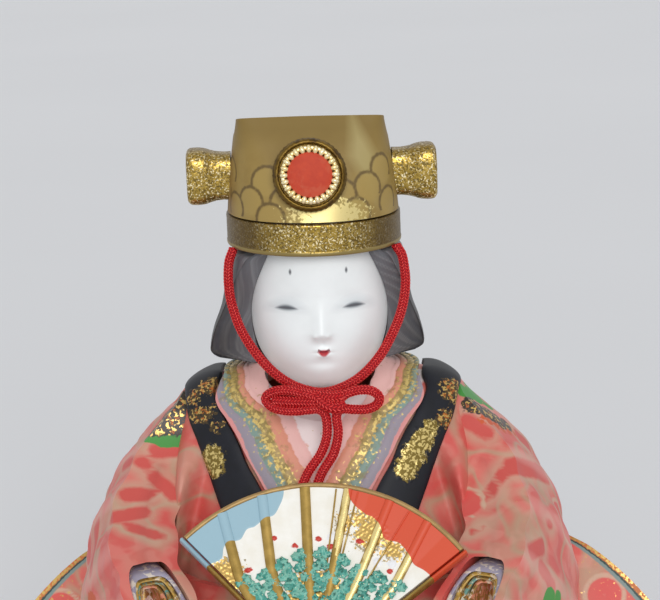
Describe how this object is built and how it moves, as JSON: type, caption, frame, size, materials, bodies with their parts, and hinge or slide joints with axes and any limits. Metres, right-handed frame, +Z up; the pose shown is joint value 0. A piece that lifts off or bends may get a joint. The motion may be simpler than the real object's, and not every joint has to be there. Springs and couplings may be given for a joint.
{
  "type": "seated hina doll",
  "caption": "Seated court doll of painted clay with a tied gold crown, a head that turns on a peg, stacked robes and a fan that lifts out of the hands.",
  "frame": {"origin": "middle of the footprint, on the surface that the doll stands on, below the neck axis", "axes": "+Z up, the doll faces -Y, and its own left hand is at +X"},
  "size_m": [0.162, 0.1239, 0.1389],
  "materials": {
    "robe_coral": "matte painted clay, coral with faded beige swirls",
    "robe_layers": "matte painted clay, robe layers in pale colours",
    "train_cream": "matte painted clay, cream with gold",
    "collar_colours": "matte painted clay, stacked collars with gold flecks",
    "cuff_colours": "matte painted clay, stacked cuffs with gold flecks",
    "neckband_navy": "matte painted clay, navy with gold leaf flowers",
    "bisque_white": "satin white bisque",
    "hair_black": "satin painted clay, grey black",
    "peg_wood": "plain turned wood",
    "felt_grey": "felt",
    "gold_leaf": "gold leaf over clay, rough and glittering",
    "crown_ochre": "matte old gold paint with thin brown outlines",
    "stone_red": "matte orange red",
    "cord_red": "braided silk cord",
    "fan_painted": "painted panels with clouds and pine in relief",
    "fan_gold": "brown gold paint",
    "rivet_brass": "plain brass"
  },
  "bodies": {
    "body": {"robe_torso": "robe_coral", "left_sleeve": "robe_coral", "right_sleeve": "robe_coral", "outer_skirt": "robe_coral", "under_robes": "robe_layers", "back_train": "train_cream", "front_hems": "robe_layers", "collar_layers": "collar_colours", "left_cuff_layers": "cuff_colours", "right_cuff_layers": "cuff_colours", "left_neckband": "neckband_navy", "right_neckband": "neckband_navy", "left_hand": "bisque_white", "right_hand": "bisque_white", "back_hair": "hair_black", "neck_block": "peg_wood", "base_pad": "felt_grey"},
    "head": {"head": "bisque_white", "head_hair": "hair_black", "neck_peg": "peg_wood", "crown_band": "gold_leaf", "crown_cap": "crown_ochre", "left_side_boss": "gold_leaf", "right_side_boss": "gold_leaf", "boss_ring": "gold_leaf", "boss_bezel": "gold_leaf", "boss_stone": "stone_red", "chin_cord": "cord_red", "cord_knot": "cord_red", "bow_loop_left": "cord_red", "bow_loop_right": "cord_red", "cord_tail_left": "cord_red", "cord_tail_right": "cord_red"},
    "fan": {"fan_leaf": "fan_painted", "fan_rim": "fan_gold", "fan_sticks": "fan_gold", "fan_guard_left": "fan_gold", "fan_guard_right": "fan_gold", "fan_rivet": "rivet_brass"}
  },
  "joints": [
    {"name": "head_turn", "type": "hinge", "parent": "body", "child": "head", "pos_m": [0, 0, 0.0755], "axis": [0, 0, 1], "range_deg": [-15, 15]},
    {"name": "fan_lift", "type": "slide", "parent": "body", "child": "fan", "axis": [0, -0.5, 0.866], "range_m": [0, 0.075]}
  ]
}
